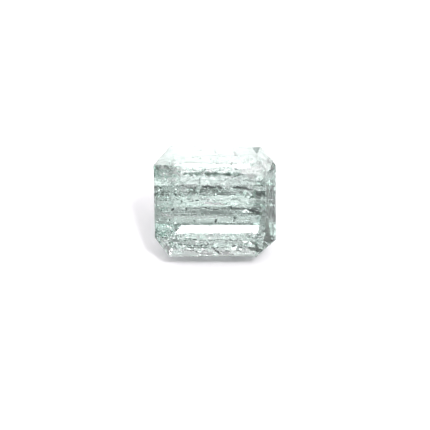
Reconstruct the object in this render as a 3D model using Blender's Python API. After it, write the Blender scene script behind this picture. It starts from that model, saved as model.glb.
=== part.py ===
"""A step-cut tourmaline with an octagonal outline, leaning on one of its lowest pavilion facets.

The stone is made as a cutter makes one: a block is ground away by flat facets until only the stone is left.
Each facet is one plane. It is given by the side of the stone that it is on, the angle that it makes with the
girdle, and the height at which it starts. Small chips are then broken out of the girdle and the corners.
"""

import math
from dataclasses import dataclass

import bmesh
import bpy
from mathutils import Matrix, Vector

# Sizes are in metres, in the stone's own frame: X along the stone, Y across it, Z out of the table.
LENGTH = 0.00850
WIDTH = 0.00766
GIRDLE_THICKNESS = 0.00020

# How far up each crown step goes, from the girdle to the table
CROWN_RISES = (0.00076, 0.00046, 0.00025)
# How far down the first two pavilion steps go. The third closes at the keel
PAVILION_DROPS = (0.00076, 0.00122)

# Facet angles from the girdle plane, in degrees, from the girdle outwards
FRONT_CROWN = (42.8, 30.8, 23.2)
BACK_CROWN = (46.3, 40.5, 19.7)
LEFT_CROWN = (43.0, 38.0, 27.0)
RIGHT_CROWN = (60.0, 52.0, 38.0)
CORNER_CROWN = (50.0, 42.0, 30.0)
FRONT_PAVILION = (59.8, 53.0, 39.1)
BACK_PAVILION = (58.6, 48.7, 38.6)
LEFT_PAVILION = (78.0, 74.0, 69.0)
RIGHT_PAVILION = (80.0, 76.0, 72.0)
CORNER_PAVILION = (72.0, 66.0, 60.0)

# Each corner is cut off by this much along X and along Y
FRONT_LEFT_CUT = (0.00105, 0.00134)
FRONT_RIGHT_CUT = (0.00136, 0.00114)
BACK_LEFT_CUT = (0.00109, 0.00124)
BACK_RIGHT_CUT = (0.00105, 0.00130)

# The cutter's small errors, in degrees around the stone
LEFT_SIDE_TURN = 1.1
BACK_SIDE_TURN = -0.6

BLOCK_SIDE = 0.030
ON_PLANE = 1e-8

STONE_COLOUR = (0.62, 0.76, 0.68, 1.0)
STONE_ROUGHNESS = 0.03
STONE_METALLIC = 0.0


@dataclass
class Side:
    """One of the eight sides of the outline, with its facets from the girdle outwards."""

    turn: float
    reach: float
    crown: tuple
    pavilion: tuple


@dataclass
class Chip:
    """A shell-shaped break: its centre, its three half-sizes and how it is turned about Z."""

    centre: tuple
    half_sizes: tuple
    turn: float


# The photographed damage: nicks along two corners and a few along the girdle
CHIPS = (
    Chip((0.00399, 0.00325, 0.00020), (0.00024, 0.00016, 0.00020), -38.0),
    Chip((0.00418, 0.00283, 0.00012), (0.00015, 0.00026, 0.00016), -20.0),
    Chip((0.00372, 0.00355, 0.00022), (0.00015, 0.00010, 0.00014), -45.0),
    Chip((0.00352, -0.00339, 0.00018), (0.00030, 0.00018, 0.00022), 40.0),
    Chip((0.00305, -0.00386, 0.00020), (0.00020, 0.00014, 0.00016), 10.0),
    Chip((0.00238, -0.00391, 0.00014), (0.00016, 0.00012, 0.00012), 0.0),
    Chip((-0.00388, -0.00283, 0.00014), (0.00018, 0.00013, 0.00016), -52.0),
    Chip((-0.00349, -0.00345, 0.00008), (0.00016, 0.00010, 0.00014), -48.0),
    Chip((-0.00080, -0.00392, 0.00016), (0.00022, 0.00012, 0.00010), 0.0),
    Chip((-0.00426, 0.00262, 0.00016), (0.00011, 0.00017, 0.00013), 0.0),
    Chip((0.00120, 0.00392, 0.00014), (0.00024, 0.00011, 0.00011), 0.0),
    Chip((0.00432, -0.00120, 0.00012), (0.00010, 0.00022, 0.00012), 0.0),
)


def direction(turn):
    """The level unit vector that points out of a side, whose turn is in degrees from +X."""
    angle = math.radians(turn)
    return Vector((math.cos(angle), math.sin(angle), 0.0))


def corner_side(sign_x, sign_y, cut):
    """The side that cuts a corner off, worked out from how much it takes along X and along Y."""
    along_x, along_y = cut
    normal = Vector((sign_x * along_y, sign_y * along_x, 0.0)).normalized()
    start = Vector((sign_x * LENGTH / 2, sign_y * (WIDTH / 2 - along_y), 0.0))
    turn = math.degrees(math.atan2(normal.y, normal.x))
    return Side(turn, normal.dot(start), CORNER_CROWN, CORNER_PAVILION)


def outline_sides():
    """The eight sides of the stone's outline."""
    return (
        Side(270.0, WIDTH / 2, FRONT_CROWN, FRONT_PAVILION),
        Side(90.0 + BACK_SIDE_TURN, WIDTH / 2, BACK_CROWN, BACK_PAVILION),
        Side(180.0 + LEFT_SIDE_TURN, LENGTH / 2, LEFT_CROWN, LEFT_PAVILION),
        Side(0.0, LENGTH / 2, RIGHT_CROWN, RIGHT_PAVILION),
        corner_side(-1, -1, FRONT_LEFT_CUT),
        corner_side(1, -1, FRONT_RIGHT_CUT),
        corner_side(-1, 1, BACK_LEFT_CUT),
        corner_side(1, 1, BACK_RIGHT_CUT),
    )


def grind(stone, point, normal):
    """Cuts off all that lies beyond a plane, and closes the stone with the new facet."""
    geometry = stone.verts[:] + stone.edges[:] + stone.faces[:]
    cut = bmesh.ops.bisect_plane(
        stone, geom=geometry, dist=ON_PLANE, plane_co=point, plane_no=normal, clear_outer=True
    )
    rim = [part for part in cut["geom_cut"] if isinstance(part, bmesh.types.BMEdge)]
    if rim:
        bmesh.ops.edgeloop_fill(stone, edges=rim)


def grind_steps(stone, side, angles, rises, start_height, up):
    """Grinds the steps of one side. Each starts where the last one ended; up is 1 or -1."""
    outwards = direction(side.turn)
    reach, height = side.reach, start_height
    for step, angle in enumerate(angles):
        slope = math.radians(angle)
        normal = outwards * math.sin(slope) + Vector((0.0, 0.0, up * math.cos(slope)))
        grind(stone, outwards * reach + Vector((0.0, 0.0, height)), normal)
        if step < len(rises):
            reach -= rises[step] / math.tan(slope)
            height += up * rises[step]


def faceted_stone():
    """The whole stone as a cutter leaves it, with the middle of its girdle at the origin."""
    stone = bmesh.new()
    bmesh.ops.create_cube(stone, size=BLOCK_SIDE)
    sides = outline_sides()
    for side in sides:
        outwards = direction(side.turn)
        grind(stone, outwards * side.reach, outwards)
    half_girdle = GIRDLE_THICKNESS / 2
    table_height = half_girdle + sum(CROWN_RISES)
    grind(stone, Vector((0.0, 0.0, table_height)), Vector((0.0, 0.0, 1.0)))
    for side in sides:
        grind_steps(stone, side, side.crown, CROWN_RISES, half_girdle, 1)
        grind_steps(stone, side, side.pavilion, PAVILION_DROPS, -half_girdle, -1)
    bmesh.ops.recalc_face_normals(stone, faces=stone.faces[:])
    return stone


def chip_shapes():
    """All the chips as one mesh of separate closed shells, which the stone is cut by."""
    shapes = bmesh.new()
    for chip in CHIPS:
        place = Matrix.Translation(chip.centre) @ Matrix.Rotation(math.radians(chip.turn), 4, "Z")
        size = Matrix.Diagonal((*chip.half_sizes, 1.0))
        bmesh.ops.create_icosphere(shapes, subdivisions=2, radius=1.0, matrix=place @ size)
    return shapes


def resting_pose():
    """The turn that lays the front side's lowest pavilion facet on the ground, table towards -Y."""
    return Matrix.Rotation(math.radians(FRONT_PAVILION[-1]), 4, "X")


def ground_centre(stone):
    """The middle of the stone's box, at the height of its lowest point."""
    low = Vector([min(vert.co[axis] for vert in stone.verts) for axis in range(3)])
    high = Vector([max(vert.co[axis] for vert in stone.verts) for axis in range(3)])
    return Vector(((low.x + high.x) / 2, (low.y + high.y) / 2, low.z))


def object_from(name, shape):
    """A new object in the scene with this mesh."""
    mesh = bpy.data.meshes.new(name)
    shape.to_mesh(mesh)
    shape.free()
    made = bpy.data.objects.new(name, mesh)
    bpy.context.scene.collection.objects.link(made)
    return made


def stone_material():
    """Pale mint crystal."""
    material = bpy.data.materials.new("tourmaline")
    material.use_nodes = True
    shader = material.node_tree.nodes["Principled BSDF"]
    shader.inputs["Base Color"].default_value = STONE_COLOUR
    shader.inputs["Roughness"].default_value = STONE_ROUGHNESS
    shader.inputs["Metallic"].default_value = STONE_METALLIC
    return material


def main():
    for old in list(bpy.data.objects):
        bpy.data.objects.remove(old)

    stone, chips = faceted_stone(), chip_shapes()
    bmesh.ops.transform(stone, matrix=resting_pose(), verts=stone.verts)
    bmesh.ops.transform(chips, matrix=resting_pose(), verts=chips.verts)
    to_ground = Matrix.Translation(-ground_centre(stone))
    bmesh.ops.transform(stone, matrix=to_ground, verts=stone.verts)
    bmesh.ops.transform(chips, matrix=to_ground, verts=chips.verts)

    tourmaline = object_from("tourmaline", stone)
    tourmaline.data.materials.append(stone_material())
    breaks = object_from("chip_shapes", chips)
    breaks.hide_render = True
    breaks.display_type = "WIRE"
    cut = tourmaline.modifiers.new("chips", "BOOLEAN")
    cut.operation = "DIFFERENCE"
    cut.solver = "EXACT"
    cut.object = breaks


main()
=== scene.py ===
"""A pale mint-green tourmaline in an octagonal step cut, lying on a white studio floor.

The stone leans on one of its lowest pavilion facets, with its table towards the camera. Its facets are
polished and its edges are worn and chipped. Inside it are the growth tubes, fractures, milky veils and small
crystals that break up the light which the pavilion sends back. Lines of dark, grey and white flakes laid just
under the facets also paint shade, highlights and patches of light into the stone.
"""

import logging
import math
import random
from dataclasses import dataclass
from enum import Enum

import bmesh
import bpy
from mathutils import Euler, Matrix, Vector
from mathutils.bvhtree import BVHTree


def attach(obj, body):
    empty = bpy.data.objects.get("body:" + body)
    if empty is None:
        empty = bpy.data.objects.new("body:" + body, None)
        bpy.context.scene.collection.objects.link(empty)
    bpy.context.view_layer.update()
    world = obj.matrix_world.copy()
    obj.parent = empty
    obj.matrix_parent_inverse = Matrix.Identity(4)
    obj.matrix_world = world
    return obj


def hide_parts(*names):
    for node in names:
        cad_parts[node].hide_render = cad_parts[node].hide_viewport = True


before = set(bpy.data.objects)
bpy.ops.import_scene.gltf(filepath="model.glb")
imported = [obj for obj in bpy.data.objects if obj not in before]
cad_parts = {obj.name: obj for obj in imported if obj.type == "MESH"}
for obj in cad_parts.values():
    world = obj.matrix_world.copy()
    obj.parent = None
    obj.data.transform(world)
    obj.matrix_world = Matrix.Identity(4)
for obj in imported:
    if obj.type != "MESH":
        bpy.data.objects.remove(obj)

log = logging.getLogger("tourmaline")

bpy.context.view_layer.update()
MM = 0.001
NODE = "tourmaline"
BODY = "root"

# The photograph's frame: what one of its pixels is on the stone, and the pixel at the girdle's middle
PIXEL_MM = 0.07
MIDDLE_X = 214.4
MIDDLE_Y = 201.3

# In square metres. A smaller face belongs to a break
SMALLEST_FACET = 1e-7

# In millimetres: a height over the table, from which the surface is felt for
ABOVE_TABLE = 3.0

# A place that no stone holds, for a pixel that misses it
OUTSIDE = Vector((0.0, 0.0, -1.0))


@dataclass(frozen=True)
class StoneAxes:
    """The stone's own frame: X along it, Y across it, Z out of the table, from the middle of the girdle."""

    centre: tuple[float, float, float] = (0.0000247, -0.0000723, 0.0031709)
    lean: float = 39.1
    table_mm: float = 1.57

    def matrix(self) -> Matrix:
        """The stone's frame as a matrix in the world."""
        return Matrix.Translation(self.centre) @ self.turn().to_4x4()

    def turn(self) -> Matrix:
        """The turn alone, from the stone's frame to the world."""
        return Matrix.Rotation(math.radians(self.lean), 3, "X")


class StoneSpace:
    """The room inside the stone, worked out from its solid."""

    def __init__(self, node: bpy.types.Object, axes: StoneAxes) -> None:
        """Merges a copy of the solid's mesh and keeps its facet planes.

        Args:
            node: the solid's object.
            axes: the stone's own frame.
        """
        self.axes = axes
        self.shape = bmesh.new()
        self.shape.from_mesh(node.data)
        bmesh.ops.remove_doubles(self.shape, verts=self.shape.verts[:], dist=2e-7)
        bmesh.ops.dissolve_limit(
            self.shape, angle_limit=math.radians(0.05), verts=self.shape.verts[:], edges=self.shape.edges[:]
        )
        self.shape.normal_update()
        self.planes = [
            (face.normal.copy(), face.normal.dot(face.verts[0].co))
            for face in self.shape.faces
            if face.calc_area() > SMALLEST_FACET
        ]
        self.surface = BVHTree.FromBMesh(self.shape)

    def holds(self, point: Vector, margin: float) -> bool:
        """Whether a point of the world is inside the stone by at least a margin.

        Args:
            point: the point, in the world.
            margin: how far from the surface it has to be, in metres.

        Returns:
            True if it is.
        """
        if any(normal.dot(point) > reach - margin for normal, reach in self.planes):
            return False
        return self.surface.find_nearest(point)[3] > margin

    def holds_lens(self, centre: Vector, turn: Matrix, half: Vector, margin: float) -> bool:
        """Whether a turned lens or needle is inside the stone.

        Args:
            centre: its middle, in the world.
            turn: its turn, from its own frame to the world.
            half: its three half-sizes, in metres.
            margin: how far from the surface it has to be, in metres.

        Returns:
            True if its middle and its rim are inside.
        """
        if not self.holds(centre, margin):
            return False
        rim = [(1, 0, 0), (-1, 0, 0), (0, 1, 0), (0, -1, 0), (0, 0, 1), (0, 0, -1)]
        rim += [(0.7, 0.7, 0), (0.7, -0.7, 0), (-0.7, 0.7, 0), (-0.7, -0.7, 0)]
        spots = (centre + turn @ Vector((x * half.x, y * half.y, z * half.z)) for x, y, z in rim)
        return all(self.holds(spot, margin) for spot in spots)


class NodeTree:
    """A small helper that adds nodes and links to a node tree."""

    def __init__(self, tree: bpy.types.NodeTree) -> None:
        """Keeps the tree that is filled."""
        self.tree = tree

    def add(self, kind: str, values: dict | None = None, **settings: object) -> bpy.types.Node:
        """Adds a node.

        Args:
            kind: the node's type.
            values: numbers, colours or output sockets for its inputs, by name or by place.
            settings: properties of the node itself.

        Returns:
            The new node.
        """
        node = self.tree.nodes.new(kind)
        for name, value in settings.items():
            setattr(node, name, value)
        self.fill(node, values or {})
        return node

    def fill(self, node: bpy.types.Node, values: dict) -> None:
        """Sets or links inputs of a node.

        Args:
            node: the node.
            values: numbers, colours or output sockets for its inputs, by name or by place.
        """
        for name, value in values.items():
            if isinstance(value, bpy.types.NodeSocket):
                self.tree.links.new(value, node.inputs[name])
            else:
                node.inputs[name].default_value = value

    def math(self, operation: str, *values: float | bpy.types.NodeSocket) -> bpy.types.NodeSocket:
        """The result of a Math node on these values."""
        return self.add("ShaderNodeMath", dict(enumerate(values)), operation=operation).outputs[0]

    def ramp(self, source: bpy.types.NodeSocket, stops: list[tuple[float, tuple]]) -> bpy.types.NodeSocket:
        """A colour ramp.

        Args:
            source: the number that it reads.
            stops: places from 0 to 1, each with its colour.

        Returns:
            The ramp's colour.
        """
        node = self.add("ShaderNodeValToRGB", {"Fac": source})
        elements = node.color_ramp.elements
        elements.remove(elements[1])
        for index, (place, colour) in enumerate(stops):
            element = elements[0] if index == 0 else elements.new(place)
            element.position = place
            element.color = (*colour, 1.0)
        return node.outputs["Color"]


def grey(level: float) -> tuple[float, float, float]:
    """A grey of this level."""
    return (level, level, level)


def blank_material(name: str) -> tuple[bpy.types.Material, NodeTree, bpy.types.Node]:
    """A new material with nodes.

    Args:
        name: its name.

    Returns:
        The material, a helper for its tree, and its main shader.
    """
    material = bpy.data.materials.new(name)
    material.use_nodes = True
    return material, NodeTree(material.node_tree), material.node_tree.nodes["Principled BSDF"]


def polish_group() -> bpy.types.NodeTree:
    """The cutter's polish: fine lines along the stone and a faint unevenness.

    Returns:
        A shader node group that puts out a height and a roughness.
    """
    tree = bpy.data.node_groups.new("polish", "ShaderNodeTree")
    for name, low in (("Line scale", 1.0), ("Line share", 0.5), ("Roughest", 0.05)):
        tree.interface.new_socket(name, in_out="INPUT", socket_type="NodeSocketFloat").default_value = low
    for name in ("Height", "Roughness"):
        tree.interface.new_socket(name, in_out="OUTPUT", socket_type="NodeSocketFloat")
    make = NodeTree(tree)
    inputs = make.add("NodeGroupInput").outputs
    place = make.add("ShaderNodeTexCoord").outputs["Object"]
    drawn = make.add("ShaderNodeVectorMath", {0: place, 1: (0.04, 1.0, 1.0)}, operation="MULTIPLY")
    lines = make.add(
        "ShaderNodeTexNoise", {"Vector": drawn.outputs[0], "Scale": inputs["Line scale"], "Detail": 3.0}
    )
    swell = make.add("ShaderNodeTexNoise", {"Vector": place, "Scale": 900.0, "Detail": 2.0})
    blend = make.add(
        "ShaderNodeMix",
        {"Factor": inputs["Line share"], "A": swell.outputs["Fac"], "B": lines.outputs["Fac"]},
        data_type="FLOAT",
    )
    smear = make.add("ShaderNodeTexNoise", {"Vector": place, "Scale": 1400.0, "Detail": 4.0})
    patch = make.add(
        "ShaderNodeMapRange",
        {"Value": smear.outputs["Fac"], "From Min": 0.45, "From Max": 0.75, "To Max": inputs["Roughest"]},
    )
    make.add("NodeGroupOutput", {"Height": blend.outputs[0], "Roughness": patch.outputs[0]})
    return tree


@dataclass(frozen=True)
class PolishedFacets:
    """Clear tourmaline with a cutter's polish on it."""

    name: str = "polished_tourmaline"
    ior: float = 1.63
    absorbs: tuple[float, float, float, float] = (0.746, 0.92, 0.858, 1.0)
    density: float = 82.0
    line_scale: float = 9000.0
    line_share: float = 0.6
    roughest: float = 0.06
    height_mm: float = 0.0002

    def material(self, polish: bpy.types.NodeTree) -> bpy.types.Material:
        """The material.

        Args:
            polish: the shared polish group.

        Returns:
            A glass-like material with a tint that deepens with depth.
        """
        material, make, shader = blank_material(self.name)
        sizes = {"Line scale": self.line_scale, "Line share": self.line_share, "Roughest": self.roughest}
        lines = make.add("ShaderNodeGroup", sizes, node_tree=polish).outputs
        bump = make.add("ShaderNodeBump", {"Height": lines["Height"], "Distance": self.height_mm * MM})
        make.fill(shader, {
            "Base Color": (1.0, 1.0, 1.0, 1.0), "Transmission Weight": 1.0, "IOR": self.ior,
            "Roughness": lines["Roughness"], "Normal": bump.outputs["Normal"],
        })
        self.tint(material, make)
        return material

    def tint(self, material: bpy.types.Material, make: NodeTree) -> None:
        """Gives a material the stone's tint, which deepens with depth.

        Args:
            material: the material.
            make: the helper for its tree.
        """
        tint = make.add("ShaderNodeVolumeAbsorption", {"Color": self.absorbs, "Density": self.density})
        make.fill(material.node_tree.nodes["Material Output"], {"Volume": tint.outputs["Volume"]})


@dataclass(frozen=True)
class GroundEdge:
    """The unpolished girdle, the worn edges and the broken surfaces."""

    name: str = "ground_tourmaline"
    colour: tuple[float, float, float, float] = (0.70, 0.76, 0.73, 1.0)
    ior: float = 1.63
    roughness: tuple[float, float] = (0.03, 0.3)

    def material(self, facets: PolishedFacets) -> bpy.types.Material:
        """The material.

        Args:
            facets: the finish of the polished facets, whose tint it shares.

        Returns:
            A frosted material with the same body.
        """
        material, make, shader = blank_material(self.name)
        place = make.add("ShaderNodeTexCoord").outputs["Object"]
        noise = make.add("ShaderNodeTexNoise", {"Vector": place, "Scale": 9000.0, "Detail": 3.0})
        grain = noise.outputs["Fac"]
        low, high = self.roughness
        rough = make.add("ShaderNodeMapRange", {"Value": grain, "To Min": low, "To Max": high})
        bump = make.add("ShaderNodeBump", {"Height": grain, "Distance": 0.004 * MM})
        make.fill(shader, {
            "Base Color": self.colour, "Transmission Weight": 1.0, "IOR": self.ior,
            "Roughness": rough.outputs[0], "Normal": bump.outputs["Normal"],
        })
        facets.tint(material, make)
        return material


@dataclass(frozen=True)
class OpenFracture:
    """The thin air gap of a fracture or of an empty growth tube, seen from inside the stone."""

    name: str = "air_gap"
    stone_ior: float = 1.63
    roughness: float = 0.04

    def material(self) -> bpy.types.Material:
        """The material.

        Returns:
            A gap that bends light back as air does inside the stone.
        """
        material, make, shader = blank_material(self.name)
        nodes = material.node_tree.nodes
        nodes.remove(shader)
        place = make.add("ShaderNodeTexCoord").outputs["Object"]
        ripple = make.add("ShaderNodeTexNoise", {"Vector": place, "Scale": 5000.0, "Detail": 3.0})
        bump = make.add("ShaderNodeBump", {"Height": ripple.outputs["Fac"], "Distance": 0.006 * MM})
        gap = make.add(
            "ShaderNodeBsdfGlass",
            {"Roughness": self.roughness, "IOR": 1.0 / self.stone_ior, "Normal": bump.outputs["Normal"]},
        )
        make.fill(nodes["Material Output"], {"Surface": gap.outputs[0]})
        return material


@dataclass(frozen=True)
class MilkyVeilAndPaintedLight:
    """A white haze or sliver: a sheet of droplets too fine to see, as in a healed fracture, which also paints
    highlights and light.
    """

    name: str = "milky_veil"
    colour: tuple[float, float, float, float] = (0.93, 0.98, 0.96, 1.0)
    roughness: float = 0.6
    grain: float = 2600.0
    faintest: float = 0.0
    densest: float = 0.5

    def material(self) -> bpy.types.Material:
        """The material.

        Returns:
            A pale haze that thins out in patches.
        """
        material, make, shader = blank_material(self.name)
        place = make.add("ShaderNodeTexCoord").outputs["Object"]
        cloud = make.add("ShaderNodeTexNoise", {"Vector": place, "Scale": self.grain, "Detail": 6.0})
        cover = make.add(
            "ShaderNodeMapRange",
            {
                "Value": cloud.outputs["Fac"], "From Min": 0.42, "From Max": 0.7,
                "To Min": self.faintest, "To Max": self.densest,
            },
        )
        make.fill(shader, {
            "Base Color": self.colour, "Roughness": self.roughness, "Specular IOR Level": 0.1,
            "Alpha": cover.outputs[0],
        })
        return material


@dataclass(frozen=True)
class DarkGrainAndPaintedShade:
    """A small mineral grain, dark or smoky, which also paints shade where it is laid in seams."""

    name: str = "dark_grain_and_painted_shade"
    darkest: tuple[float, float, float] = (0.035, 0.05, 0.048)
    palest: tuple[float, float, float] = (0.16, 0.195, 0.18)

    def material(self) -> bpy.types.Material:
        """The material.

        Returns:
            A grey-green stone grain, uneven in tone.
        """
        material, make, shader = blank_material(self.name)
        place = make.add("ShaderNodeTexCoord").outputs["Object"]
        tone = make.add("ShaderNodeTexNoise", {"Vector": place, "Scale": 12000.0, "Detail": 3.0})
        colour = make.ramp(tone.outputs["Fac"], [(0.3, self.darkest), (0.7, self.palest)])
        make.fill(shader, {"Base Color": colour, "Roughness": 0.45})
        return material


class Finish(Enum):
    """What an inclusion is filled with, and what a flake that paints shade or light is made of."""

    GAP = "air gap"
    VEIL = "milky veil"
    # Dark grains, which in the seams also paint shade into the dark bands and along the right end
    DARK = "dark grain"
    # Grey flakes, which mostly paint shade
    SMOKE = "smoky flake"
    # White slivers, which mostly paint highlights and glints
    SNOW_AND_HIGHLIGHT = "white sliver"
    # Pale haze, which paints light
    HAZE_AND_PAINTED_LIGHT = "pale haze"


@dataclass(frozen=True)
class Region:
    """A box in the stone's own frame, in millimetres."""

    x: tuple[float, float] = (-4.3, 4.3)
    y: tuple[float, float] = (-3.9, 3.9)
    z: tuple[float, float] = (-4.3, 1.6)

    def holds(self, point: Vector) -> bool:
        """Whether a point, in millimetres, is in the box."""
        return all(low <= value <= high for value, (low, high) in zip(point, (self.x, self.y, self.z)))

    @classmethod
    def seen(
        cls, left: float, top: float, right: float, bottom: float, shallow: float, deep: float
    ) -> "Region":
        """The region that shows between four pixels of the photograph.

        Args:
            left: the first column.
            top: the first row.
            right: the last column.
            bottom: the last row.
            shallow: the least depth below the table, in millimetres.
            deep: the greatest depth below the table, in millimetres.

        Returns:
            The region.
        """
        columns = ((left - MIDDLE_X) * PIXEL_MM, (right - MIDDLE_X) * PIXEL_MM)
        rows = ((MIDDLE_Y - bottom) * PIXEL_MM, (MIDDLE_Y - top) * PIXEL_MM)
        table = StoneAxes().table_mm
        return cls(columns, rows, (table - deep, table - shallow))


@dataclass(frozen=True)
class GrowthRule:
    """How one family of inclusions is laid out. Sizes are half-sizes in millimetres, turns are in degrees."""

    name: str
    finish: Finish
    count: int
    seed: int
    where: Region
    long: tuple[float, float]
    wide: tuple[float, float]
    thick: tuple[float, float]
    turned: tuple[float, float, float] = (0.0, 0.0, 0.0)
    swing: tuple[float, float, float] = (0.0, 0.0, 0.0)
    wave_height: float = 0.02
    wave_scale: float = 1500.0
    detail: int = 2


@dataclass(frozen=True)
class Seam:
    """A line of grains or slivers just under the surface; many of these paint shade, highlights and light.

    Half-sizes and the depth are in millimetres, and the path is in pixels of the photograph.
    """

    path: tuple[tuple[float, float], ...]
    count: int
    long: float
    wide: float
    depth: float = 0.05


@dataclass(frozen=True)
class SeamSet:
    """All the seams of one finish."""

    name: str
    finish: Finish
    seed: int
    seams: tuple[Seam, ...]
    thick: float = 0.014
    wave_height: float = 0.025
    wave_scale: float = 9000.0


def growth_tree(name: str, detail: int) -> bpy.types.NodeTree:
    """The Geometry Nodes tree that grows lenses, needles and grains from seed points.

    Args:
        name: the family's name.
        detail: how finely each body is divided.

    Returns:
        A tree with the wave's height and scale and the finish as named inputs.
    """
    tree = bpy.data.node_groups.new(f"grow_{name}", "GeometryNodeTree")
    tree.is_modifier = True
    sockets = tree.interface
    sockets.new_socket("Seeds", in_out="INPUT", socket_type="NodeSocketGeometry")
    sockets.new_socket("Wave height", in_out="INPUT", socket_type="NodeSocketFloat")
    sockets.new_socket("Wave scale", in_out="INPUT", socket_type="NodeSocketFloat")
    sockets.new_socket("Finish", in_out="INPUT", socket_type="NodeSocketMaterial")
    sockets.new_socket("Geometry", in_out="OUTPUT", socket_type="NodeSocketGeometry")
    make = NodeTree(tree)
    inputs = make.add("NodeGroupInput").outputs
    body = make.add("GeometryNodeMeshIcoSphere", {"Radius": 1.0, "Subdivisions": detail})
    size = make.add("GeometryNodeInputNamedAttribute", {"Name": "half_size"}, data_type="FLOAT_VECTOR")
    turn = make.add("GeometryNodeInputNamedAttribute", {"Name": "turn"}, data_type="FLOAT_VECTOR")
    angle = make.add("FunctionNodeEulerToRotation", {"Euler": turn.outputs["Attribute"]})
    placed = make.add(
        "GeometryNodeInstanceOnPoints",
        {
            "Points": inputs["Seeds"], "Instance": body.outputs["Mesh"],
            "Rotation": angle.outputs["Rotation"], "Scale": size.outputs["Attribute"],
        },
    )
    solid = make.add("GeometryNodeRealizeInstances", {"Geometry": placed.outputs["Instances"]})
    place = make.add("GeometryNodeInputPosition")
    wave = make.add(
        "ShaderNodeTexNoise",
        {"Vector": place.outputs["Position"], "Scale": inputs["Wave scale"], "Detail": 2.0},
    )
    swing = make.add(
        "ShaderNodeVectorMath", {0: wave.outputs["Color"], 1: (0.5, 0.5, 0.5)}, operation="SUBTRACT"
    )
    offset = make.add("ShaderNodeVectorMath", {0: swing.outputs[0]}, operation="SCALE")
    tree.links.new(inputs["Wave height"], offset.inputs["Scale"])
    bent = make.add(
        "GeometryNodeSetPosition", {"Geometry": solid.outputs["Geometry"], "Offset": offset.outputs[0]}
    )
    dressed = make.add(
        "GeometryNodeSetMaterial", {"Geometry": bent.outputs["Geometry"], "Material": inputs["Finish"]}
    )
    make.add("NodeGroupOutput", {"Geometry": dressed.outputs["Geometry"]})
    return tree


@dataclass
class InclusionsAndPaintedMarks:
    """Everything that grew or broke inside the stone, and the flakes that paint shade and highlights under
    its facets.
    """

    space: StoneSpace
    margin: float = 0.03
    tries: int = 60
    scatter_px: float = 0.45
    sway: float = 7.0
    deeper_step: float = 0.04
    deeper_tries: int = 5

    def seeds(self, rule: GrowthRule) -> bpy.types.Mesh:
        """Points inside the stone, each with a size and a turn.

        Args:
            rule: the family.

        Returns:
            A mesh of loose points with the attributes half_size and turn.
        """
        draw = random.Random(rule.seed)
        stone = self.space.axes.matrix()
        points, halves, turns = [], [], []
        for _ in range(rule.count * self.tries):
            if len(points) == rule.count:
                break
            spot = Vector([draw.uniform(*reach) for reach in (rule.where.x, rule.where.y, rule.where.z)])
            centre = stone @ (spot * MM)
            half = Vector([draw.uniform(*reach) for reach in (rule.long, rule.wide, rule.thick)]) * MM
            swung = [rest + draw.gauss(0.0, swing) for rest, swing in zip(rule.turned, rule.swing)]
            turn = self.space.axes.turn() @ Euler([math.radians(turned) for turned in swung]).to_matrix()
            if self.space.holds_lens(centre, turn, half, (self.margin + rule.wave_height / 2) * MM):
                points.append(centre)
                halves.append(half)
                turns.append(Vector(turn.to_euler()))
        return point_mesh(f"{rule.name}_seeds", points, {"half_size": halves, "turn": turns})

    def grow(self, rule: GrowthRule, finish: bpy.types.Material) -> bpy.types.Object:
        """Grows one family.

        Args:
            rule: the family.
            finish: its material.

        Returns:
            The family as one piece.
        """
        values = {"Wave height": rule.wave_height * MM, "Wave scale": rule.wave_scale, "Finish": finish}
        return grown_piece(rule.name, self.seeds(rule), growth_tree(rule.name, rule.detail), values)

    def lay(self, family: SeamSet, finish: bpy.types.Material) -> bpy.types.Object:
        """Lays the seams of one finish under the facets that they are seen through; many of them paint shade,
        highlights and light.

        Args:
            family: the seams.
            finish: their material.

        Returns:
            The seams as one piece.
        """
        draw = random.Random(family.seed)
        margin = (self.margin + family.wave_height / 2) * MM
        points, halves, turns = [], [], []
        for seam in family.seams:
            for step in range(seam.count):
                spot, along = along_path(seam.path, (step + draw.uniform(0.25, 0.75)) / seam.count)
                spot = spot + Vector((draw.gauss(0.0, self.scatter_px), draw.gauss(0.0, self.scatter_px)))
                long, wide = seam.long * draw.uniform(0.35, 1.0), seam.wide * draw.uniform(0.6, 1.4)
                half = Vector((long, wide, family.thick)) * MM
                angle = math.atan2(-along.y, along.x) + math.radians(draw.gauss(0.0, self.sway))
                for deeper in range(self.deeper_tries):
                    centre, turn = self.under(spot, angle, seam.depth + self.deeper_step * deeper)
                    if self.space.holds_lens(centre, turn, half, margin):
                        points.append(centre)
                        halves.append(half)
                        turns.append(Vector(turn.to_euler()))
                        break
        seeds = point_mesh(f"{family.name}_seeds", points, {"half_size": halves, "turn": turns})
        values = {"Wave height": family.wave_height * MM, "Wave scale": family.wave_scale, "Finish": finish}
        return grown_piece(family.name, seeds, growth_tree(family.name, 2), values)

    def under(self, pixel: Vector, angle: float, depth: float) -> tuple[Vector, Matrix]:
        """A place under the facet that a pixel of the photograph shows.

        Args:
            pixel: the column and the row.
            angle: the turn about the facet's normal, in radians.
            depth: how far below the facet, in millimetres.

        Returns:
            The place in the world, and the turn of a flake that lies along the facet there.
        """
        column, row = (pixel.x - MIDDLE_X) * PIXEL_MM, (MIDDLE_Y - pixel.y) * PIXEL_MM
        above = Vector((column, row, ABOVE_TABLE)) * MM
        down = self.space.axes.turn() @ Vector((0.0, 0.0, -1.0))
        spot, normal, _, _ = self.space.surface.ray_cast(self.space.axes.matrix() @ above, down)
        if spot is None:
            return OUTSIDE, Matrix.Identity(3)
        along = self.space.axes.turn() @ Vector((math.cos(angle), math.sin(angle), 0.0))
        across = normal.cross(along).normalized()
        along = across.cross(normal)
        turn = Matrix((along, across, normal)).transposed()
        return spot - normal * depth * MM, turn


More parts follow.
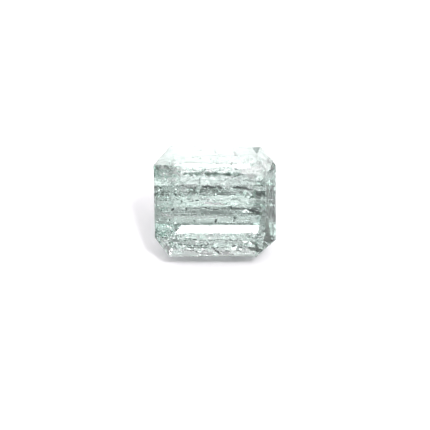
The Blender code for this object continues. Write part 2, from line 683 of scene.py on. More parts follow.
def along_path(path: tuple[tuple[float, float], ...], share: float) -> tuple[Vector, Vector]:
    """A point on a path of straight runs, and the way it heads there.

    Args:
        path: the corners of the path.
        share: how far along the path, from 0 to 1.

    Returns:
        The point and the direction.
    """
    corners = [Vector(corner) for corner in path]
    if len(corners) == 1:
        return corners[0], Vector((1.0, 0.0))
    left = share * sum((end - start).length for start, end in zip(corners, corners[1:]))
    for start, end in zip(corners, corners[1:]):
        run = (end - start).length
        if left <= run:
            break
        left -= run
    return start.lerp(end, min(left / run, 1.0)), (end - start).normalized()


def point_mesh(name: str, points: list[Vector], attributes: dict[str, list[Vector]]) -> bpy.types.Mesh:
    """A mesh of loose points.

    Args:
        name: its name.
        points: where they are.
        attributes: a vector for each point, by attribute name.

    Returns:
        The mesh.
    """
    mesh = bpy.data.meshes.new(name)
    mesh.from_pydata([tuple(point) for point in points], [], [])
    for title, values in attributes.items():
        layer = mesh.attributes.new(title, "FLOAT_VECTOR", "POINT")
        layer.data.foreach_set("vector", [number for value in values for number in value])
    return mesh


def grown_piece(
    name: str, mesh: bpy.types.Mesh, tree: bpy.types.NodeTree, values: dict[str, object]
) -> bpy.types.Object:
    """Runs a Geometry Nodes tree on a mesh and keeps the result as a plain piece.

    Args:
        name: the piece's name.
        mesh: what the tree starts from.
        tree: the tree.
        values: its inputs, by name.

    Returns:
        The piece, with a plain mesh and no modifier.
    """
    piece = bpy.data.objects.new(name, mesh)
    bpy.context.scene.collection.objects.link(piece)
    modifier = piece.modifiers.new("growth", "NODES")
    modifier.node_group = tree
    for item in tree.interface.items_tree:
        if item.item_type == "SOCKET" and item.in_out == "INPUT" and item.name in values:
            modifier[item.identifier] = values[item.name]
    bpy.context.view_layer.update()
    graph = bpy.context.evaluated_depsgraph_get()
    grown = bpy.data.meshes.new_from_object(piece.evaluated_get(graph))
    piece.modifiers.remove(modifier)
    piece.data = grown
    return piece


@dataclass(frozen=True)
class ChipRun:
    """A run of small breaks along the stone's edges, inside a region. Sizes are half-sizes in millimetres."""

    where: Region
    spacing: float
    size: tuple[float, float]
    seed: int
    sharpest: float = 12.0


@dataclass(frozen=True)
class PitRun:
    """Small shallow pits in the facets of a region. Sizes are half-sizes in millimetres."""

    where: Region
    count: int
    size: tuple[float, float]
    seed: int


@dataclass
class CutStone:
    """The stone itself: its polished facets, with worn and chipped edges."""

    space: StoneSpace
    runs: tuple[ChipRun, ...]
    pits: tuple[PitRun, ...]
    wear_mm: float = 0.03
    wear_step_mm: float = 0.13
    sharpest: float = 5.0
    seed: int = 7
    break_wave_mm: float = 0.03
    break_wave_scale: float = 9000.0

    def build(self, polished: bpy.types.Material, ground: bpy.types.Material) -> bpy.types.Object:
        """The dressed stone.

        Args:
            polished: the facets' material.
            ground: the material of the girdle, the worn edges and the chips.

        Returns:
            The stone as one piece.
        """
        mesh = bpy.data.meshes.new("cut_stone")
        shape = self.worn_shape()
        shape.to_mesh(mesh)
        shape.free()
        mesh.materials.append(polished)
        mesh.materials.append(ground)
        piece = bpy.data.objects.new("cut_stone", mesh)
        bpy.context.scene.collection.objects.link(piece)
        wear = piece.modifiers.new("worn_edges", "BEVEL")
        wear.limit_method = "WEIGHT"
        wear.width = self.wear_mm * MM
        wear.segments = 2
        wear.material = 1
        wear.use_clamp_overlap = True
        breaks = self.chips(ground)
        chipped = piece.modifiers.new("chipped_edges", "BOOLEAN")
        chipped.operation = "DIFFERENCE"
        chipped.solver = "EXACT"
        chipped.material_mode = "TRANSFER"
        chipped.use_self = True
        chipped.object = breaks
        bpy.context.view_layer.update()
        graph = bpy.context.evaluated_depsgraph_get()
        piece.data = bpy.data.meshes.new_from_object(piece.evaluated_get(graph))
        piece.modifiers.clear()
        bpy.data.objects.remove(breaks)
        return piece

    def worn_shape(self) -> bmesh.types.BMesh:
        """The solid with its edges cut into lengths, each with its own share of the wear.

        Returns:
            A mesh whose girdle and breaks have the second material.
        """
        shape = self.space.shape.copy()
        weight = shape.edges.layers.float.new("bevel_weight_edge")
        draw = random.Random(self.seed)
        sharp = [edge for edge in shape.edges if edge.calc_face_angle(0.0) > math.radians(self.sharpest)]
        for edge in sharp:
            self.split(edge)
        nearly_upright = math.radians(2.0)
        out = self.space.axes.turn() @ Vector((0.0, 0.0, 1.0))
        for face in shape.faces:
            girdle = abs(math.pi / 2 - face.normal.angle(out)) < nearly_upright
            face.material_index = 1 if girdle or face.calc_area() < SMALLEST_FACET else 0
        for edge in shape.edges:
            if edge.calc_face_angle(0.0) > math.radians(self.sharpest):
                edge[weight] = draw.uniform(0.15, 1.0)
        return shape

    def split(self, edge: bmesh.types.BMEdge) -> None:
        """Cuts an edge into short lengths, so that each can be worn by a different amount.

        Args:
            edge: the edge.
        """
        parts = max(1, round(edge.calc_length() / (self.wear_step_mm * MM)))
        start = edge.verts[0]
        for left in range(parts, 1, -1):
            edge, start = bmesh.utils.edge_split(edge, start, 1.0 / left)

    def chips(self, ground: bpy.types.Material) -> bpy.types.Object:
        """The shapes that are broken out of the edges and the facets.

        Args:
            ground: the material that a break shows.

        Returns:
            One object of closed grains, strung along the edges and strewn over the pitted facets.
        """
        points, halves, turns = [], [], []
        to_stone = self.space.axes.matrix().inverted()
        for run in self.runs:
            draw = random.Random(run.seed)
            for edge in self.space.shape.edges:
                if edge.calc_face_angle(0.0) < math.radians(run.sharpest):
                    continue
                start, end = (vert.co for vert in edge.verts)
                for _ in range(round((end - start).length / (run.spacing * MM) * draw.uniform(0.7, 1.3))):
                    spot = start.lerp(end, draw.random())
                    own = to_stone @ spot / MM
                    size = draw.triangular(*run.size, run.size[0]) * MM
                    half = Vector((size * draw.uniform(0.8, 1.6), size * draw.uniform(0.7, 1.2), size * 0.8))
                    turn = Vector([draw.uniform(0.0, math.tau) for _ in range(3)])
                    if run.where.holds(own):
                        points.append(spot)
                        halves.append(half)
                        turns.append(turn)
        down = self.space.axes.turn() @ Vector((0.0, 0.0, -1.0))
        for run in self.pits:
            draw = random.Random(run.seed)
            for _ in range(run.count):
                above = Vector((draw.uniform(*run.where.x), draw.uniform(*run.where.y), ABOVE_TABLE)) * MM
                spot, normal, _, _ = self.space.surface.ray_cast(self.space.axes.matrix() @ above, down)
                size = draw.triangular(*run.size, run.size[0]) * MM
                points.append(spot)
                long, wide = size * draw.uniform(0.7, 1.6), size * draw.uniform(0.5, 1.0)
                halves.append(Vector((long, wide, size * 0.4)))
                turns.append(Vector(normal.to_track_quat("Z", "Y").to_euler()))
        seeds = point_mesh("chip_seeds", points, {"half_size": halves, "turn": turns})
        values = {
            "Wave height": self.break_wave_mm * MM, "Wave scale": self.break_wave_scale, "Finish": ground,
        }
        return grown_piece("chips", seeds, growth_tree("chips", 2), values)


@dataclass(frozen=True)
class SoftBox:
    """A lamp of the studio, given by where it is seen from the stone.

    The turn goes in degrees from behind the stone, over the top, to the front. The side is how far the
    direction points along X, from -1 to 1.
    """

    name: str
    turn: tuple[float, float]
    side: tuple[float, float]
    level: float
    soft_turn: float = 1.0
    soft_side: float = 0.05


@dataclass
class Studio:
    """The white floor, the soft light all round and the camera."""

    axes: StoneAxes
    elevation: float = 50.8
    lens: float = 110.0
    sensor: float = 36.0
    frame_pixels: int = 430
    below_middle: float = 13.7
    tent: tuple[tuple[float, float], ...] = (
        (0, 0.2), (12, 0.3), (15, 0.65), (21, 0.6), (26, 0.3), (32, 0.5), (52, 0.5), (62, 0.25), (76, 0.4),
        (80, 1.2), (97, 1.25), (103, 0.95), (107, 0.6), (110, 0.26), (115.5, 0.26), (117.5, 0.55),
        (120, 0.85), (124, 0.85), (127, 0.6), (129, 0.16), (132, 0.16), (133.6, 0.95), (136.5, 0.95),
        (139, 0.14), (141, 0.16), (143, 0.28), (147, 0.6), (150, 1.0), (154, 0.85), (159, 0.2), (180, 0.15),
    )
    ends: tuple[tuple[float, float], ...] = (
        (-1.0, 0.06), (-0.74, 0.09), (-0.62, 0.16), (-0.5, 0.34), (-0.38, 0.42), (-0.3, 0.6), (-0.2, 1.0),
        (0.2, 1.0), (0.35, 0.85), (0.48, 0.6), (0.7, 0.3), (1.0, 0.2),
    )
    boxes: tuple[SoftBox, ...] = (
        SoftBox("behind", (33.0, 60.0), (-0.15, 0.15), 6.0, 1.0, 0.1),
        SoftBox("behind left", (18.0, 80.0), (-0.76, -0.58), 5.0, 3.0, 0.05),
        SoftBox("behind right", (18.0, 80.0), (0.58, 0.76), 5.0, 3.0, 0.05),
        SoftBox("front fill", (142.5, 145.5), (0.3, 0.5), 0.4, 4.0, 0.12),
        SoftBox("right fill", (79.0, 90.0), (0.38, 0.54), 0.7, 2.0, 0.06),
        SoftBox("right wash", (50.0, 66.0), (0.46, 0.62), 2.0, 4.0, 0.06),
        SoftBox("above", (83.0, 88.5), (-0.15, 0.15), 4.0, 1.0, 0.1),
        SoftBox("front", (172.5, 179.0), (-0.14, 0.14), 14.0, 1.0, 0.03),
    )
    floor_tent: tuple[tuple[float, float], ...] = (
        (0, 0.8), (55, 1.5), (85, 2.2), (98, 1.8), (112, 0.3), (180, 0.12),
    )
    key: SoftBox = SoftBox("key", (91.0, 105.0), (0.34, 0.5), 26.0, 2.0, 0.03)
    floor_light: tuple[float, float, float, float] = (1.0, 0.975, 1.0, 1.0)
    stone_shade: float = 1.35
    backdrop: float = 1.05
    floor_half: float = 3.0
    floor_drop: float = 1e-5

    def camera(self) -> None:
        """The camera at the photograph's angle and distance."""
        data = bpy.data.cameras.new("camera")
        data.lens = self.lens
        data.sensor_width = self.sensor
        data.clip_start, data.clip_end = 0.001, 20.0
        camera = bpy.data.objects.new("camera", data)
        bpy.context.scene.collection.objects.link(camera)
        slope = math.radians(self.elevation)
        back = Vector((0.0, -math.cos(slope), math.sin(slope)))
        up = Vector((0.0, math.sin(slope), math.cos(slope)))
        distance = self.frame_pixels * PIXEL_MM * MM * self.lens / self.sensor
        aim = Vector(self.axes.centre) - up * self.below_middle * PIXEL_MM * MM
        camera.location = aim + back * distance
        camera.rotation_euler = (math.pi / 2 - slope, 0.0, 0.0)
        bpy.context.scene.camera = camera

    def floor(self) -> bpy.types.Object:
        """The wide white floor, a hair below the stone.

        Returns:
            The floor.
        """
        half, down = self.floor_half, -self.floor_drop
        mesh = bpy.data.meshes.new("floor")
        corners = [(-half, -half, down), (half, -half, down), (half, half, down), (-half, half, down)]
        mesh.from_pydata(corners, [], [(0, 1, 2, 3)])
        floor = bpy.data.objects.new("floor", mesh)
        bpy.context.scene.collection.objects.link(floor)
        material, make, shader = blank_material("white_floor")
        nodes = material.node_tree.nodes
        nodes.remove(shader)
        place = make.add("ShaderNodeTexCoord").outputs["Object"]
        fibre = make.add("ShaderNodeTexNoise", {"Vector": place, "Scale": 700.0, "Detail": 4.0})
        tone = make.ramp(fibre.outputs["Fac"], [(0.3, (0.86, 0.86, 0.87)), (0.7, (0.89, 0.89, 0.89))])
        paper = make.add("ShaderNodeBsdfDiffuse", {"Color": tone})
        make.fill(nodes["Material Output"], {"Surface": paper.outputs[0]})
        mesh.materials.append(material)
        return floor

    def light(self) -> None:
        """A white tent whose brightness goes by the angle over the stone, with soft boxes in it.

        The floor, and the grains that are lit through the stone, have a plainer tent of their own.
        """
        world = bpy.data.worlds.new("studio")
        bpy.context.scene.world = world
        world.use_nodes = True
        world.node_tree.nodes.clear()
        make = NodeTree(world.node_tree)
        place = make.add("ShaderNodeTexCoord").outputs["Generated"]
        part = make.add("ShaderNodeSeparateXYZ", {"Vector": place}).outputs
        turn = make.math("DEGREES", make.math("ARCTAN2", part["Z"], part["Y"]))
        share = make.math("DIVIDE", turn, 180.0)
        arc = make.ramp(share, [(angle / 180, grey(level)) for angle, level in self.tent])
        sky = make.ramp(share, [(angle / 180, grey(level)) for angle, level in self.floor_tent])
        along = make.math("MULTIPLY_ADD", part["X"], 0.5, 0.5)
        side = make.ramp(along, [(0.5 + x / 2, grey(level)) for x, level in self.ends])
        light = make.math("MULTIPLY", arc, side)
        for box in self.boxes:
            light = self.lamp(make, turn, part["X"], box, light)
        path = make.add("ShaderNodeLightPath").outputs
        bounced = make.math("MINIMUM", path["Diffuse Depth"], 1.0)
        through = make.math("MULTIPLY", path["Is Glossy Ray"], bounced)
        direct = make.math("SUBTRACT", path["Is Glossy Ray"], through)
        shade = make.add("ShaderNodeMapRange", {"Value": through, "To Min": 1.0, "To Max": self.stone_shade})
        sky = self.lamp(make, turn, part["X"], self.key, sky)
        sky = make.math("MULTIPLY", sky, shade.outputs[0])
        on_stone = make.add("ShaderNodeBackground", {"Color": (1.0, 1.0, 1.0, 1.0), "Strength": light})
        on_floor = make.add("ShaderNodeBackground", {"Color": self.floor_light, "Strength": sky})
        seen = make.add("ShaderNodeBackground", {"Color": (1.0, 1.0, 1.0, 1.0), "Strength": self.backdrop})
        mix = make.add("ShaderNodeMixShader", {0: direct, 1: on_floor.outputs[0], 2: on_stone.outputs[0]})
        view = {0: path["Is Camera Ray"], 1: mix.outputs[0], 2: seen.outputs[0]}
        make.add("ShaderNodeOutputWorld", {"Surface": make.add("ShaderNodeMixShader", view).outputs[0]})

    def lamp(
        self,
        make: NodeTree,
        turn: bpy.types.NodeSocket,
        side: bpy.types.NodeSocket,
        box: SoftBox,
        light: bpy.types.NodeSocket,
    ) -> bpy.types.NodeSocket:
        """Adds a soft box to the light.

        Args:
            make: the tree that it is built in.
            turn: the direction's angle over the stone.
            side: how far the direction points along X.
            box: the soft box.
            light: the light so far.

        Returns:
            The light with the box in it.
        """
        across = self.window(make, turn, box.turn, box.soft_turn)
        long = self.window(make, side, box.side, box.soft_side)
        lit = make.math("MULTIPLY_ADD", make.math("MULTIPLY", across, long), box.level, light)
        lit.node.label = box.name
        return lit

    def window(
        self, make: NodeTree, value: bpy.types.NodeSocket, reach: tuple[float, float], soft: float
    ) -> bpy.types.NodeSocket:
        """A mask that is 1 inside a range and fades to 0 outside it.

        Args:
            make: the tree that it is built in.
            value: the number that is tested.
            reach: the range.
            soft: how far the fade goes on either side.

        Returns:
            The mask.
        """
        low, high = reach
        rise = make.add(
            "ShaderNodeMapRange", {"Value": value, "From Min": low - soft, "From Max": low},
            interpolation_type="SMOOTHSTEP",
        )
        fall = make.add(
            "ShaderNodeMapRange", {"Value": value, "From Min": high + soft, "From Max": high},
            interpolation_type="SMOOTHSTEP",
        )
        return make.math("MULTIPLY", rise.outputs[0], fall.outputs[0])

    def paths(self) -> None:
        """Lets light bounce often enough inside the stone, and keeps colours plain."""
        scene = bpy.context.scene
        scene.view_settings.view_transform = "Standard"
        scene.cycles.max_bounces = 32
        scene.cycles.transmission_bounces = 32
        scene.cycles.glossy_bounces = 32
        scene.cycles.transparent_max_bounces = 32
        scene.cycles.diffuse_bounces = 3
        scene.cycles.sample_clamp_indirect = 0.0


WHOLE = Region()
UNDER_TABLE = Region((-3.2, 3.1), (-1.8, 1.9), (-0.6, 1.4))
FRONT_CROWN = Region((-3.4, 3.4), (-3.7, -2.0), (-0.8, 1.2))
LEFT_END = Region((-4.2, -2.4), (-2.8, -1.2), (-1.0, 1.3))

FAMILIES = (
    GrowthRule(
        "growth_tubes", Finish.GAP, 90, 11, WHOLE, (0.25, 1.1), (0.005, 0.014), (0.005, 0.014),
        swing=(2.0, 2.5, 2.5),
    ),
    GrowthRule(
        "short_tubes", Finish.GAP, 160, 21, UNDER_TABLE, (0.06, 0.35), (0.004, 0.009), (0.004, 0.009),
        swing=(2.0, 4.0, 4.0),
    ),
    GrowthRule(
        "feathers", Finish.GAP, 14, 12, WHOLE, (0.12, 0.45), (0.06, 0.22), (0.004, 0.006),
        swing=(40.0, 18.0, 18.0), wave_height=0.12, wave_scale=2600.0, detail=3,
    ),
    GrowthRule(
        "front_fractures", Finish.GAP, 110, 31, FRONT_CROWN, (0.06, 0.3), (0.04, 0.15), (0.004, 0.006),
        swing=(60.0, 40.0, 40.0), wave_height=0.08, wave_scale=4500.0,
    ),
    GrowthRule(
        "end_fractures", Finish.GAP, 16, 32, LEFT_END, (0.06, 0.3), (0.04, 0.16), (0.004, 0.006),
        swing=(60.0, 40.0, 40.0), wave_height=0.08, wave_scale=4500.0,
    ),
    GrowthRule(
        "edge_fractures", Finish.GAP, 90, 33, Region.seen(183, 167, 238, 176, 0.04, 0.5),
        (0.06, 0.32), (0.03, 0.1), (0.004, 0.006),
        swing=(50.0, 14.0, 10.0), wave_height=0.06, wave_scale=5200.0,
    ),
    GrowthRule(
        "cross_cracks", Finish.GAP, 7, 34, Region.seen(197.5, 178, 200.5, 200, 0.05, 0.5),
        (0.1, 0.34), (0.1, 0.3), (0.004, 0.006),
        turned=(90.0, 0.0, 90.0), swing=(8.0, 8.0, 10.0), wave_height=0.05, wave_scale=3500.0,
    ),
    GrowthRule(
        "folded_sheet", Finish.GAP, 5, 35, Region.seen(224, 177, 232, 192, 0.1, 0.4),
        (0.18, 0.42), (0.1, 0.16), (0.004, 0.006),
        turned=(24.0, 0.0, 58.0), swing=(8.0, 6.0, 8.0), wave_height=0.06, wave_scale=3000.0,
    ),
    GrowthRule(
        "veils", Finish.VEIL, 14, 14, WHOLE, (0.5, 1.4), (0.15, 0.5), (0.004, 0.006),
        swing=(30.0, 12.0, 12.0), wave_height=0.3, wave_scale=1300.0, detail=4,
    ),
    GrowthRule(
        "bubbles", Finish.GAP, 240, 13, UNDER_TABLE, (0.012, 0.045), (0.010, 0.03), (0.008, 0.025),
        swing=(90.0, 90.0, 90.0), wave_height=0.01, wave_scale=9000.0,
    ),
    GrowthRule(
        "dark_grains", Finish.DARK, 40, 15, UNDER_TABLE, (0.02, 0.08), (0.012, 0.03), (0.010, 0.025),
        swing=(40.0, 20.0, 20.0), wave_height=0.02, wave_scale=9000.0,
    ),
)

# Dark grains under the facets. Most are specks, chips and cracks; in the dark bands and along the right end
# they paint shade.
DARK_GRAIN_AND_SHADE_SEAMS = (
    # The specks in the white of the back crown
    Seam(((200, 149.8), (201, 150)), 3, 0.1, 0.08),
    Seam(((192.3, 152),), 2, 0.08, 0.06),
    Seam(((213.6, 150), (216.2, 153.6)), 6, 0.1, 0.06),
    Seam(((233.2, 150.6), (235.2, 154.8)), 6, 0.12, 0.06),
    Seam(((234.8, 155), (235.8, 155.6)), 4, 0.12, 0.1),
    Seam(((217, 163.5), (229, 163.6)), 6, 0.08, 0.03),
    Seam(((230, 163.7), (230.8, 163.7)), 2, 0.1, 0.08),
    # The double line along the table's back edge
    Seam(((185.5, 169.7), (202, 170.1)), 6, 0.09, 0.018),
    Seam(
        ((202, 170.3), (212, 169.5), (218.5, 168.5), (225, 167.9), (230, 168.4), (235, 170.4)),
        16, 0.11, 0.026,
    ),
    Seam(
        ((184, 173.7), (191, 174.4), (200, 174), (210, 173.4), (217, 173.9), (225, 175.2),
         (233, 176.3)),
        19, 0.1, 0.026,
    ),
    Seam(((189, 177.2), (193.4, 177.6)), 3, 0.1, 0.035),
    Seam(((224, 179.2), (229.4, 180.4)), 3, 0.09, 0.03),
    Seam(((231, 179), (235, 176.6), (239, 178.4)), 5, 0.08, 0.028),
    Seam(((236.8, 175.4), (242.4, 175.2)), 3, 0.11, 0.03),
    # The upright crack
    Seam(((199.4, 178), (198.9, 182), (199.2, 186)), 5, 0.11, 0.022),
    Seam(((200.2, 193), (200.4, 201)), 4, 0.12, 0.012),
    # The upper dark band: dark grains that paint a deeper shade into the band
    Seam(((177, 186.1), (187, 186.6)), 5, 0.18, 0.022),
    Seam(((187, 187.5), (193, 189.8), (197.5, 193.4)), 6, 0.12, 0.035),
    Seam(((202, 187.4), (222, 188)), 10, 0.2, 0.06),
    Seam(((233, 187.6), (241, 188.6), (250, 190.2)), 18, 0.13, 0.06),
    Seam(((240, 193), (247, 193.2)), 3, 0.1, 0.03),
    Seam(((241, 180.5), (256, 182), (271, 181.8)), 13, 0.14, 0.024),
    Seam(((155, 186.4), (160, 188.2)), 3, 0.12, 0.04),
    # The lower dark line: dark grains that paint a deeper shade into the line
    Seam(((171, 209.5), (172.6, 209.8)), 4, 0.09, 0.07),
    Seam(((186, 207.8), (187.6, 210.4)), 4, 0.08, 0.05),
    Seam(((205, 207.6), (210, 209.4), (218, 209.2)), 8, 0.14, 0.03),
    Seam(((227, 208.2), (260, 208.8)), 14, 0.17, 0.03),
    Seam(((247, 209.6), (257, 212.4)), 9, 0.15, 0.08),
    # The corners on the right: black chips at the top, and dark grains that paint shade along the rim and in
    # the lower corner facet
    Seam(((262.4, 153.6), (266, 157.6)), 4, 0.08, 0.04),
    Seam(((266.4, 158.8), (268.6, 162.4)), 9, 0.12, 0.08),
    Seam(((270.4, 164.8), (272.6, 170.6)), 10, 0.12, 0.07),
    Seam(((272.8, 172), (272.8, 204)), 16, 0.16, 0.03),
    Seam(((272.6, 203), (272.6, 216)), 12, 0.16, 0.07),
    Seam(((272.8, 214), (272.6, 236)), 12, 0.16, 0.04),
    Seam(((265.2, 234), (266, 238)), 4, 0.1, 0.05),
    Seam(((263.6, 240.8), (272.4, 239.6)), 10, 0.12, 0.07),
    Seam(((262.2, 240), (262.4, 250)), 6, 0.13, 0.03),
    # The lower crown
    Seam(((249.4, 231.8), (252.4, 233.4)), 4, 0.07, 0.05),
    Seam(((254.6, 234), (259.6, 235.2)), 6, 0.08, 0.05),
    Seam(((248, 237.8), (260, 238.4)), 7, 0.09, 0.035),
    Seam(((178, 245.2), (200, 245.8), (214, 244.6)), 16, 0.15, 0.04),
    Seam(((231, 246), (250, 248.6)), 12, 0.13, 0.042),
    Seam(((214, 249.6), (219, 254.6)), 6, 0.09, 0.07),
    Seam(((234.6, 249.8), (244, 253.6)), 8, 0.11, 0.035),
    Seam(((188, 249.6), (198, 253.4)), 6, 0.09, 0.045),
    Seam(((174, 246.6), (176.6, 250.6)), 3, 0.1, 0.03),
    Seam(((176.4, 232.4), (176, 239.6)), 4, 0.08, 0.03),
    Seam(((184.4, 238.6), (196, 239.6)), 6, 0.1, 0.028),
)

# Grey flakes. They paint shade along the left and right rims, the top chamfer edges, the dark band, the right
# end and the lower corners; the rest are smoky specks and strokes.
SMOKE_AND_SHADE_SEAMS = (
    Seam(((250.4, 148), (250.6, 155.6)), 4, 0.1, 0.05),
    Seam(((198.8, 157.6), (200.6, 157.4)), 2, 0.08, 0.05),
    Seam(((165, 166.6), (168.4, 167.6)), 3, 0.09, 0.03),
    Seam(((176.2, 166.6), (180.6, 168), (183.4, 170.6)), 5, 0.1, 0.035),
    Seam(((165.6, 169.2), (172, 169.4)), 4, 0.1, 0.025),
    Seam(((155.4, 167.6), (158, 170)), 4, 0.08, 0.04),
    Seam(((155.9, 184), (155.9, 214)), 12, 0.18, 0.02),
    Seam(((178, 192), (196, 193)), 6, 0.14, 0.04),
    Seam(((201, 189.6), (222, 190)), 6, 0.2, 0.04),
    Seam(((250, 186), (270, 186.4)), 6, 0.2, 0.03),
    Seam(((154.9, 164.2), (169.4, 148.6)), 12, 0.12, 0.02),
    Seam(((261, 148.6), (273.6, 164)), 12, 0.12, 0.02),
    Seam(((267, 206), (268, 216)), 14, 0.26, 0.14),
    Seam(((267, 186), (267, 202)), 8, 0.26, 0.12),
    Seam(((266, 220), (268, 240)), 18, 0.28, 0.16),
    Seam(((264, 238), (270, 242)), 10, 0.24, 0.14),
    Seam(((248, 248), (262, 252)), 14, 0.22, 0.12),
    Seam(((246, 213.6), (262, 214.6)), 6, 0.18, 0.05),
    Seam(((180, 240.4), (240, 240.8)), 20, 0.16, 0.03),
    Seam(((186, 247.6), (228, 247.8)), 16, 0.14, 0.04),
    Seam(((250, 241), (261, 252)), 14, 0.12, 0.06),
    Seam(((263, 244), (268, 247)), 8, 0.14, 0.08),
    Seam(((164, 237), (171, 244)), 8, 0.12, 0.05),
)

# White slivers. Apart from the whitest patch, which is milky, they are painted highlights and glints.
WHITE_SLIVER_AND_HIGHLIGHT_SEAMS = (
    # Between the double line: painted glints
    Seam(((208.8, 171.2), (209.8, 171.8)), 2, 0.08, 0.06),
    Seam(((204.8, 172.2),), 1, 0.07, 0.05),
    Seam(((186, 172), (203, 172.2)), 5, 0.1, 0.03),
    Seam(((179, 184.6), (188, 184.2), (197, 185.2)), 7, 0.14, 0.026),
    Seam(((204, 185.4), (214, 184.6), (223, 182.4)), 8, 0.13, 0.026),
    Seam(((222.6, 177.4), (230, 176.6), (234, 180.4), (238.4, 179.4)), 9, 0.09, 0.03),
    Seam(((240.2, 191.5), (248.4, 190.9)), 5, 0.035, 0.03),
    # The whitest patch
    Seam(((203.6, 203.4), (224, 204.6)), 9, 0.22, 0.07, 0.12),
    Seam(((204.6, 199), (214, 200.6)), 4, 0.14, 0.04, 0.12),
    # The bright sliver and the fine line along the lower band, both painted highlights
    Seam(((160, 213.6), (165.6, 215), (171.4, 217.6)), 7, 0.14, 0.045),
    Seam(((163, 216.4), (196, 216.6), (231, 217.2)), 24, 0.18, 0.018),
    Seam(((163, 226.7), (168.8, 226.8)), 3, 0.1, 0.035),
    Seam(((164, 230.6), (175, 228.4)), 4, 0.14, 0.018),
    Seam(((163, 234.4), (175.6, 231.4)), 4, 0.14, 0.018),
    Seam(((166, 239), (176, 233.6)), 4, 0.14, 0.018),
    # The painted highlight along the lower left corner's edge
    Seam(((157.2, 233.8), (162.2, 240.6), (167.6, 246.6)), 8, 0.13, 0.055),
    Seam(((168.6, 247.6), (171, 253.4)), 5, 0.1, 0.06),
    # The lower crown: painted glints
    Seam(((177.6, 232.8), (181, 232.6), (183.4, 235.6), (180, 237.4), (177.4, 235.6)), 9, 0.06, 0.03),
    Seam(((178, 242.7), (214, 242.2)), 12, 0.13, 0.026),
    Seam(((179, 250.2), (187.4, 250)), 4, 0.14, 0.05),
    Seam(((199, 253.8), (212, 254.2)), 8, 0.16, 0.08),
    Seam(((202, 251.6), (208, 251.6)), 4, 0.13, 0.07),
    Seam(((220, 253.8), (233, 254.2)), 8, 0.16, 0.08),
    Seam(((221, 251.2), (229, 251.6)), 5, 0.13, 0.07),
    Seam(((243.6, 250.6), (245.6, 252.6)), 3, 0.07, 0.06),
    Seam(((252.2, 253.4), (253.2, 254.2)), 2, 0.06, 0.05),
    Seam(((232, 240.6), (248, 243.4)), 7, 0.11, 0.04),
    Seam(((245, 234.6), (250, 236)), 4, 0.08, 0.05),
    Seam(((252.8, 232.4), (254, 233)), 2, 0.07, 0.05),
    Seam(((256, 236.8), (262, 236.4)), 4, 0.08, 0.04),
)

# Pale haze that paints light onto the ends of the table's back edge and the upper right corner.
MILKY_AND_PAINTED_LIGHT_SEAMS = (
    Seam(((158, 168.6), (182, 170)), 9, 0.26, 0.12, 0.06),
    Seam(((158, 173.4), (182, 174.6)), 9, 0.26, 0.12, 0.06),
    Seam(((160, 178), (176, 181)), 4, 0.26, 0.14, 0.08),
    Seam(((242, 169.6), (262, 168.6)), 8, 0.3, 0.16, 0.06),
    Seam(((242, 173.6), (258, 173.6)), 6, 0.26, 0.1, 0.06),
    Seam(((247, 176), (252, 179)), 3, 0.22, 0.12, 0.08),
    Seam(((262, 162), (267, 172)), 4, 0.26, 0.14, 0.06),
)

SEAM_SETS = (
    SeamSet("dark_grain_and_shade_seams", Finish.DARK, 71, DARK_GRAIN_AND_SHADE_SEAMS),
    SeamSet("smoky_and_shade_seams", Finish.SMOKE, 72, SMOKE_AND_SHADE_SEAMS),
    SeamSet("white_sliver_and_highlight_seams", Finish.SNOW_AND_HIGHLIGHT, 73, WHITE_SLIVER_AND_HIGHLIGHT_SEAMS),
    SeamSet("milky_and_painted_light_seams", Finish.HAZE_AND_PAINTED_LIGHT, 74, MILKY_AND_PAINTED_LIGHT_SEAMS, thick=0.008, wave_height=0.05, wave_scale=3600.0),
)

CHIP_RUNS = (
    ChipRun(Region((-2.2, 1.7), (1.6, 2.4), (1.2, 1.7)), 0.06, (0.05, 0.2), 51),
    ChipRun(Region((-4.3, 4.3), (-3.9, 3.9), (-0.2, 0.2)), 0.35, (0.02, 0.09), 52),
    ChipRun(Region((-3.4, 3.4), (-3.9, -2.1), (-0.2, 1.6)), 0.16, (0.03, 0.13), 53),
    ChipRun(Region((3.2, 4.4), (1.6, 3.4), (-0.2, 1.0)), 0.12, (0.05, 0.14), 54),
    ChipRun(Region((2.4, 4.0), (-3.9, -2.4), (-0.2, 1.4)), 0.12, (0.04, 0.13), 55),
)

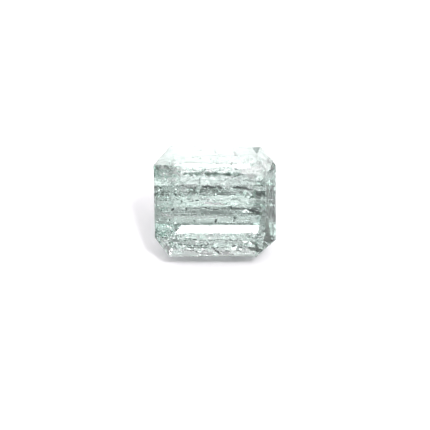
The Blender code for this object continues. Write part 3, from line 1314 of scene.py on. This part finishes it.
PIT_RUNS = (
    PitRun(Region.seen(184, 167, 238, 174, 0, 0), 30, (0.04, 0.13), 63),
    PitRun(Region.seen(170, 234, 262, 254, 0, 0), 44, (0.03, 0.12), 64),
    PitRun(Region.seen(156, 165, 182, 178, 0, 0), 10, (0.03, 0.1), 65),
)


def main() -> None:
    """Builds the stone, what is inside it and the studio, in order."""
    logging.basicConfig(level=logging.INFO, format="%(message)s")
    axes = StoneAxes()
    space = StoneSpace(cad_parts[NODE], axes)
    polished = PolishedFacets()
    finishes = {
        Finish.GAP: OpenFracture().material(),
        Finish.VEIL: MilkyVeilAndPaintedLight().material(),
        Finish.DARK: DarkGrainAndPaintedShade().material(),
        # The white slivers and the pale haze paint highlights and light
        Finish.SNOW_AND_HIGHLIGHT: MilkyVeilAndPaintedLight("white_sliver_and_painted_highlight", (1.0, 1.0, 1.0, 1.0), 0.5, 7000.0, 0.7, 1.0).material(),
        Finish.HAZE_AND_PAINTED_LIGHT: MilkyVeilAndPaintedLight("pale_haze_and_painted_light", (0.96, 1.0, 0.98, 1.0), 0.6, 3600.0, 0.25, 0.8).material(),
        # The smoky flakes mostly paint shade
        Finish.SMOKE: DarkGrainAndPaintedShade("smoky_flake_and_painted_shade", (0.15, 0.20, 0.17), (0.33, 0.41, 0.36)).material(),
    }
    facets, ground = polished.material(polish_group()), GroundEdge().material(polished)
    stone = CutStone(space, CHIP_RUNS, PIT_RUNS).build(facets, ground)
    pieces = [stone]
    inclusions = InclusionsAndPaintedMarks(space)
    for rule in FAMILIES:
        pieces.append(inclusions.grow(rule, finishes[rule.finish]))
    # The seams lay dark, grey and white flakes that paint shade, highlights and light
    for family in SEAM_SETS:
        pieces.append(inclusions.lay(family, finishes[family.finish]))
    for piece in pieces:
        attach(piece, BODY)
        log.info("%s: %d faces", piece.name, len(piece.data.polygons))
    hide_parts(NODE)
    studio = Studio(axes)
    studio.camera()
    studio.light()
    studio.paths()
    studio.floor()


if __name__ == "__main__":
    main()
